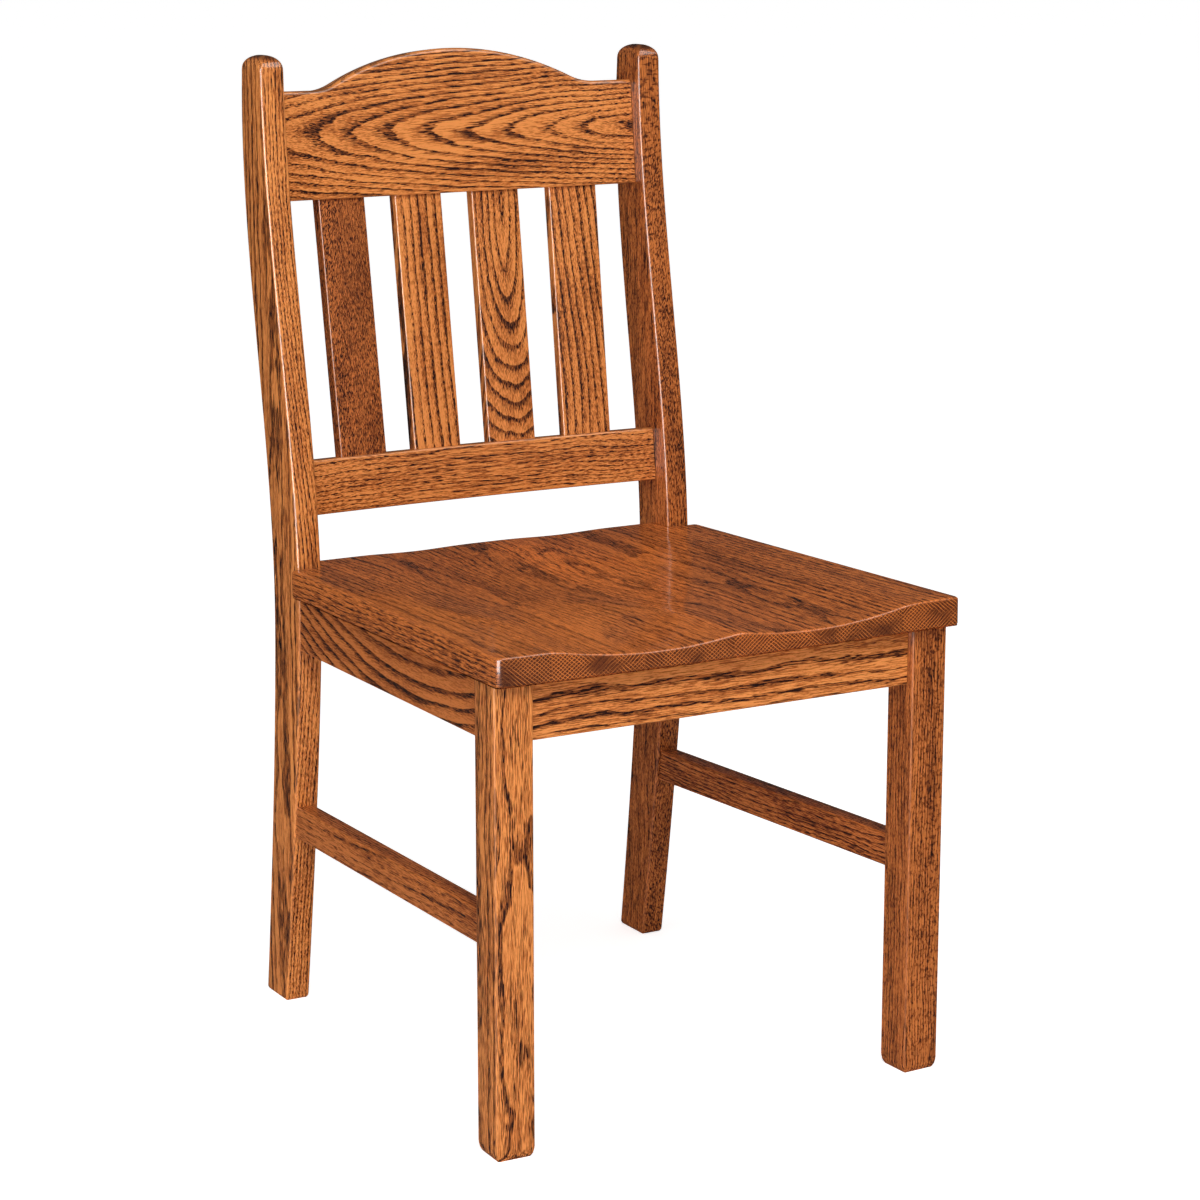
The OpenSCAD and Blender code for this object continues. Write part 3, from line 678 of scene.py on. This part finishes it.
def oak_group():
    """Plain-sawn red oak as a solid: growth rings round the tree's middle, spring pores, rays and stain."""
    g = bpy.data.node_groups.new("red_oak", "ShaderNodeTree")
    g.interface.new_socket("Vector", in_out="INPUT", socket_type="NodeSocketVector")
    for name in FIGURE + ("End",):
        g.interface.new_socket(name, in_out="INPUT", socket_type="NodeSocketFloat")
    for name in ("Light", "Mid", "Dark"):
        g.interface.new_socket(name, in_out="INPUT", socket_type="NodeSocketColor")
    g.interface.new_socket("Color", in_out="OUTPUT", socket_type="NodeSocketColor")
    g.interface.new_socket("Grain", in_out="OUTPUT", socket_type="NodeSocketFloat")
    i = g.nodes.new("NodeGroupInput").outputs
    out = g.nodes.new("NodeGroupOutput")

    def calc(op, *args, clamp=False):
        return math_node(g, op, *args, clamp=clamp)

    def mul(a, b):
        return calc("MULTIPLY", a, b)

    def plus(a, b):
        return calc("ADD", a, b)

    def minus(a, b):
        return calc("SUBTRACT", a, b)

    def mad(a, b, c, clamp=False):
        return calc("MULTIPLY_ADD", a, b, c, clamp=clamp)

    # each board samples its own part of the noise
    offset = combine(g, *(mul(i["Seed"], f) for f in (137.0, 61.0, 29.0)))
    shift = g.nodes.new("ShaderNodeVectorMath")
    shift.operation = "ADD"
    g.links.new(i["Vector"], shift.inputs[0])
    g.links.new(offset, shift.inputs[1])
    board = shift.outputs[0]
    u, v, w = split(g, i["Vector"])

    def streaks(across, along, detail=2.0, rough=0.5):
        stretched = vector_math(g, "MULTIPLY", board, (1 / along, 1 / across, 1 / across))
        return noise(g, stretched, 1.0, detail, rough)

    def wander(fac, amount):
        return mul(minus(fac, 0.5), amount)

    # offsets from the tree's middle, which drifts and curves slowly along the board
    squared = mul(u, u)
    vv = plus(mad(u, i["Lean across"], v), wander(streaks(140, 190), i["Sway"]))
    vv = plus(minus(vv, i["Pith across"]), mul(squared, i["Bent"]))
    ww = plus(mad(u, i["Lean through"], w), wander(streaks(70, 85, 2.0, 0.45), i["Swirl"]))
    ww = minus(minus(ww, i["Pith through"]), mul(squared, i["Arch"]))
    rho = calc("SQRT", plus(mul(vv, vv), mul(ww, ww)))
    turn = calc("ARCTAN2", vv, ww)

    # growth rings: a dark porous spring band, then plain summer wood; no two years as strong
    jagged = plus(wander(streaks(13, 70, 2.0, 0.55), 4.4), wander(streaks(1.6, 12, 1.0, 0.6), 1.1))
    years = calc("DIVIDE", plus(rho, jagged), i["Ring"])
    year = g.nodes.new("ShaderNodeTexWhiteNoise")
    year.noise_dimensions = "1D"
    g.links.new(calc("FLOOR", years), year.inputs["W"])
    strength = mad(year.outputs["Value"], 0.55, 0.5)
    rise_and_fade = ((0.0, 0.1), (0.05, 1.0), (0.18, 1.0), (0.34, 0.35), (0.6, 0.08), (0.95, 0.0))
    spring = ramp(g, calc("FRACT", years), *rise_and_fade)
    # fine dashes: the open pores, longest along the grain
    dash = ramp(g, streaks(0.65, 13, 1.0, 0.5), (0.44, 0.0), (0.56, 1.0))
    streak = ramp(g, streaks(1.3, 34, 2.0, 0.6), (0.4, 0.0), (0.64, 1.0))
    # rays: thin sheets that point at the tree's middle
    sheets = combine(g, mul(turn, 85.0), mul(u, 1 / 3.6), mul(rho, 1 / 8.0))
    ray = ramp(g, noise(g, sheets, 1.0, 1.0, 0.5), (0.5, 0.0), (0.62, 1.0))

    dark = mul(mul(mul(spring, strength), mad(dash, 0.7, 0.48)), i["Rings"])
    dark = mad(mul(dash, mad(streak, 0.6, 0.4)), i["Pores"], dark)
    dark = mad(ray, i["Rays"], dark)
    dark = plus(dark, wander(streaks(16, 170, 2.0, 0.5), i["Bands"]))

    # the ends of the boards drink more stain, and their rays show as thin pale crossing lines
    end = mad(i["End"], 4.0, -2.6, clamp=True)
    dark = mad(minus(0.9, dark), mul(end, 0.85), dark)
    lines = []
    for tip in (1.0, -1.0):
        slant = plus(mul(v, 0.9), mul(w, 1.1 * tip))
        wave = calc("SINE", mad(streaks(9, 90, 1.0), 4.0, mul(slant, 1.6)))
        spread = vector_math(g, "MULTIPLY", board, (0.001, 0.035, 0.05))
        patch = ramp(g, noise(g, spread, 1.0 + 0.3 * tip, 1.0), (0.36, 0.0), (0.56, 1.0))
        lines.append(mul(mad(wave, 3.0, -2.1, clamp=True), patch))
    hatch = mul(calc("MAXIMUM", *lines), mul(end, i["Hatch"]))

    # light wood below 0.1, mid tone at 0.45, dark stain above 0.95
    low = mad(dark, 1 / 0.35, -0.1 / 0.35, clamp=True)
    high = mad(dark, 2.0, -0.9, clamp=True)
    col = mix(g, high, mix(g, low, i["Light"], i["Mid"]), i["Dark"])
    g.links.new(mix(g, hatch, col, i["Light"]), out.inputs["Color"])
    g.links.new(calc("ADD", dark, 0.0, clamp=True), out.inputs["Grain"])
    return g


OAK = oak_group()
ALONG = {"X": (0, 1, 2), "Y": (1, 0, 2), "Z": (2, 0, 1)}  # which axes run along, across and through


def oak(name, grain, origin, pith, ring, seed, light, mid, dark, lean=(0.0, 0.0), sway=10.0, swirl=8.0,
        rings=1.3, pores=0.55, rays=0.14, bands=1.0, arch=0.0, bent=0.0, hatch=0.0, rough=0.4, coat=0.8):
    """Lacquered oak for one board; origin is in millimetres, and the colours are 0 to 255."""
    m = bpy.data.materials.new(name)
    m.use_nodes = True
    nt = m.node_tree
    nt.nodes.clear()
    out = nt.nodes.new("ShaderNodeOutputMaterial")
    bsdf = nt.nodes.new("ShaderNodeBsdfPrincipled")
    nt.links.new(bsdf.outputs[0], out.inputs[0])
    g = nt.nodes.new("ShaderNodeGroup")
    g.node_tree = OAK
    figure = (*pith, *lean, ring, seed, sway, swirl, rings, pores, rays, bands, arch, bent, hatch)
    for key, value in zip(FIGURE, figure):
        g.inputs[key].default_value = value
    for key, colour in (("Light", light), ("Mid", mid), ("Dark", dark)):
        g.inputs[key].default_value = (*srgb(*colour), 1)

    tc = nt.nodes.new("ShaderNodeTexCoord")
    axes = ALONG[grain]
    place = split(nt, vector_math(nt, "SUBTRACT", tc.outputs["Object"], [o * MM for o in origin]))
    turned = combine(nt, *(place[k] for k in axes))
    nt.links.new(vector_math(nt, "MULTIPLY", turned, (1000, 1000, 1000)), g.inputs["Vector"])
    facing = split(nt, tc.outputs["Normal"])[axes[0]]
    nt.links.new(math_node(nt, "ABSOLUTE", facing), g.inputs["End"])

    # eased edges mixed towards the light wood: partly a thinner stain, partly a painted highlight
    at = nt.nodes.new("ShaderNodeAttribute")
    at.attribute_name = "ease"
    thin_stain_and_sheen = math_node(nt, "MULTIPLY", at.outputs["Fac"], 0.28)
    nt.links.new(mix(nt, thin_stain_and_sheen, g.outputs["Color"], srgb(*light)), bsdf.inputs["Base Color"])
    nt.links.new(math_node(nt, "MULTIPLY_ADD", g.outputs["Grain"], 0.16, rough), bsdf.inputs["Roughness"])
    bump = nt.nodes.new("ShaderNodeBump")
    bump.inputs["Strength"].default_value = 0.25
    bump.inputs["Distance"].default_value = 0.0003
    nt.links.new(math_node(nt, "SUBTRACT", 1.0, g.outputs["Grain"]), bump.inputs["Height"])
    nt.links.new(bump.outputs[0], bsdf.inputs["Normal"])
    bsdf.inputs["Coat Weight"].default_value = coat
    bsdf.inputs["Coat Roughness"].default_value = 0.13
    bsdf.inputs["Specular IOR Level"].default_value = 0.12
    return m


LIGHT = dict(light=(237, 150, 78), mid=(188, 102, 43), dark=(38, 11, 2))
MIDDLE = dict(light=(210, 121, 57), mid=(154, 77, 29), dark=(34, 10, 2))
DARK = dict(light=(214, 122, 58), mid=(132, 62, 24), dark=(24, 6, 2))
SEAT = dict(light=(232, 130, 57), mid=(172, 87, 34), dark=(48, 17, 5))
BLOCK = dict(light=(210, 166, 112), mid=(186, 138, 88), dark=(120, 78, 44))
BEND = 1 / (2 * BOW_R)

looks = {
    "post_left": dict(grain="Z", origin=(-207, 220, 0), pith=(70, -10), ring=3.6, seed=1, sway=6, swirl=4,
                      **LIGHT),
    "post_right": dict(grain="Z", origin=(207, 220, 0), pith=(60, 8), ring=2.6, seed=2, rays=0.5, rings=0.5,
                       pores=0.7, **MIDDLE),
    "leg_left": dict(grain="Z", origin=(-216, -258, 200), pith=(6, 30), ring=6.0, seed=3, swirl=18, sway=12,
                     rings=0.9, pores=0.8, **LIGHT),
    "leg_right": dict(grain="Z", origin=(216, -258, 0), pith=(-50, -20), ring=3.2, seed=4, rays=0.4,
                      rings=0.8, **MIDDLE),
    "side_rail_left": dict(grain="Y", origin=(-224, -100, 440), pith=(36, 0), ring=11.0, seed=5, swirl=6,
                           arch=0.0008, pores=0.35, **MIDDLE),
    "side_rail_right": dict(grain="Y", origin=(224, -100, 440), pith=(-36, 0), ring=11.0, seed=6, swirl=6,
                            arch=0.0008, pores=0.35, **MIDDLE),
    "stretcher_left": dict(grain="Y", origin=(-224, 0, 196), pith=(50, 30), ring=3.0, seed=7, rings=0.6,
                           **MIDDLE),
    "stretcher_right": dict(grain="Y", origin=(224, 0, 196), pith=(-50, 30), ring=3.0, seed=8, rings=0.9,
                            **DARK),
    "rail_front": dict(grain="X", origin=(0, -252, 404), pith=(70, 30), ring=5.0, seed=9, swirl=12,
                       rings=0.95, **LIGHT),
    "rail_rear": dict(grain="X", origin=(0, 180, 404), pith=(-50, 10), ring=4.0, seed=10, **MIDDLE),
    "lower_rail": dict(grain="X", origin=(0, 190, 520), pith=(70, 50), ring=3.4, seed=11, rings=0.9,
                       pores=0.65, bent=BEND, **LIGHT),
    "crest": dict(grain="X", origin=(0, 235, 846), pith=(46, 4), lean=(0.11, 0), ring=4.8, seed=12, sway=5,
                  swirl=5, bent=BEND, **LIGHT),
    "slat_1": dict(grain="Z", origin=(-127, 220, 670), pith=(8, 34), ring=2.4, seed=13, rays=1.0, rings=0.2,
                   pores=0.6, bands=0.7, **DARK),
    "slat_2": dict(grain="Z", origin=(-42, 220, 670), pith=(90, 30), ring=9.0, seed=14, sway=4, swirl=4,
                   pores=0.4, **LIGHT),
    "slat_3": dict(grain="Z", origin=(42, 220, 740), pith=(7, 26), ring=7.0, seed=15, swirl=5, sway=6,
                   arch=0.0009, **LIGHT),
    "slat_4": dict(grain="Z", origin=(127, 220, 670), pith=(-90, 20), ring=8.0, seed=16, lean=(0.08, 0),
                   sway=12, **LIGHT),
}
SEAT_PITHS = (-30, 14, 26, -10, -26, 30)
SEAT_TONES = (0.93, 1.03, 0.98, 1.08, 1.0, 1.06)
for i, (across, tone) in enumerate(zip(SEAT_PITHS, SEAT_TONES)):
    tones = {key: tuple(round(c * tone) for c in colour) for key, colour in SEAT.items()}
    looks["seat_%d" % (i + 1)] = dict(grain="Y", origin=(-215 + 88 * i, 0, 450), pith=(across, -52), ring=4.6,
                                      seed=20 + i, rings=0.85, pores=0.75, bands=0.9, lean=(0.03, 0), swirl=6,
                                      hatch=1.0, **tones)

for name, ob in pieces.items():
    ob.data.materials.clear()
    ob.data.materials.append(oak("wood_" + name, **looks[name]))


# ======== corner blocks and screws: the CAD bodies, with broken edges ========

def zinc_steel():
    m = bpy.data.materials.new("zinc_steel")
    m.use_nodes = True
    nt = m.node_tree
    bsdf = nt.nodes["Principled BSDF"]
    bsdf.inputs["Metallic"].default_value = 1.0
    tc = nt.nodes.new("ShaderNodeTexCoord")
    fac = noise(nt, tc.outputs["Object"], 900.0, 3.0, 0.6)
    tint = ramp(nt, fac, (0.35, (0.42, 0.42, 0.44)), (0.65, (0.66, 0.66, 0.68)))
    nt.links.new(tint, bsdf.inputs["Base Color"])
    nt.links.new(ramp(nt, fac, (0.3, 0.25), (0.7, 0.45)), bsdf.inputs["Roughness"])
    return m


block = oak("wood_block", grain="X", origin=(0, 0, 420), pith=(60, 60), ring=3.0, seed=31, rough=0.55,
            coat=0.0, **BLOCK)
steel = zinc_steel()
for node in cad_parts:
    screws = node.endswith("screws")
    if node.startswith("corner_block") or screws:
        ob = bpy.data.objects[node]
        for slot in ob.material_slots:
            slot.material = steel if screws else block
        bevel = ob.modifiers.new("edges", "BEVEL")
        bevel.width = 0.0004 if screws else 0.0008
        bevel.segments = 2
        bevel.limit_method = "ANGLE"


# ======== floor, world and lights, in metres ========

FLOOR_HALF = 45
FLOOR_WHITE, FLOOR_SHEEN, FLOOR_LIFT = 0.93, 0.03, 0.66
WORLD_LIGHT, WORLD_SHEEN, WORLD_LIFT = 0.42, 0.04, 0.7

corners = ((-1, -1), (1, -1), (1, 1), (-1, 1))
floor_mesh = bpy.data.meshes.new("floor")
floor_mesh.from_pydata([(FLOOR_HALF * x, FLOOR_HALF * y, 0) for x, y in corners], [], [(0, 1, 2, 3)])
floor = bpy.data.objects.new("floor", floor_mesh)
scene.collection.objects.link(floor)
fm = bpy.data.materials.new("floor_white")
fm.use_nodes = True
fnt = fm.node_tree
fb = fnt.nodes["Principled BSDF"]
fb.inputs["Roughness"].default_value = 0.7
path = fnt.nodes.new("ShaderNodeLightPath")
# a dark sweep in reflections, so that the lacquer keeps its depth, and a white one to look at
sweep = mix(fnt, path.outputs["Is Glossy Ray"], (FLOOR_WHITE,) * 3, (FLOOR_SHEEN,) * 3)
fnt.links.new(sweep, fb.inputs["Base Color"])
fb.inputs["Emission Color"].default_value = (1, 1, 1, 1)
lift = math_node(fnt, "MULTIPLY", path.outputs["Is Camera Ray"], FLOOR_LIFT)
fnt.links.new(lift, fb.inputs["Emission Strength"])
floor.data.materials.append(fm)

world = bpy.data.worlds.new("studio")
scene.world = world
world.use_nodes = True
wnt = world.node_tree
bg = wnt.nodes["Background"]
bg.inputs[0].default_value = (1, 1, 1, 1)
wpath = wnt.nodes.new("ShaderNodeLightPath")
seen = math_node(wnt, "MULTIPLY_ADD", wpath.outputs["Is Camera Ray"], WORLD_LIFT, WORLD_LIGHT)
glow = math_node(wnt, "MULTIPLY_ADD", wpath.outputs["Is Glossy Ray"], WORLD_SHEEN - WORLD_LIGHT, seen)
wnt.links.new(glow, bg.inputs[1])


def area(name, at, to, width, power, height=None):
    d = bpy.data.lights.new(name, "AREA")
    d.shape = "RECTANGLE"
    d.size = width
    d.size_y = height or width
    d.energy = power
    o = bpy.data.objects.new(name, d)
    o.location = at
    o.rotation_euler = (Vector(to) - Vector(at)).to_track_quat("-Z", "Y").to_euler()
    scene.collection.objects.link(o)
    return o


area("key", (-1.1, -2.5, 2.5), (0, 0, 0.45), 1.3, 64)
area("side", (-2.6, 0.1, 1.3), (0, 0, 0.5), 1.2, 7).visible_glossy = False
# the sheen boxes only show as highlights along the eased edges
area("sheen_left", (-1.75, -1.25, 0.9), (0, 0, 0.6), 1.9, 165, 1.9).visible_diffuse = False
area("sheen_top", (0.9, -0.9, 2.7), (0, 0, 0.6), 1.6, 26, 1.2).visible_diffuse = False

scene.view_settings.view_transform = "Standard"
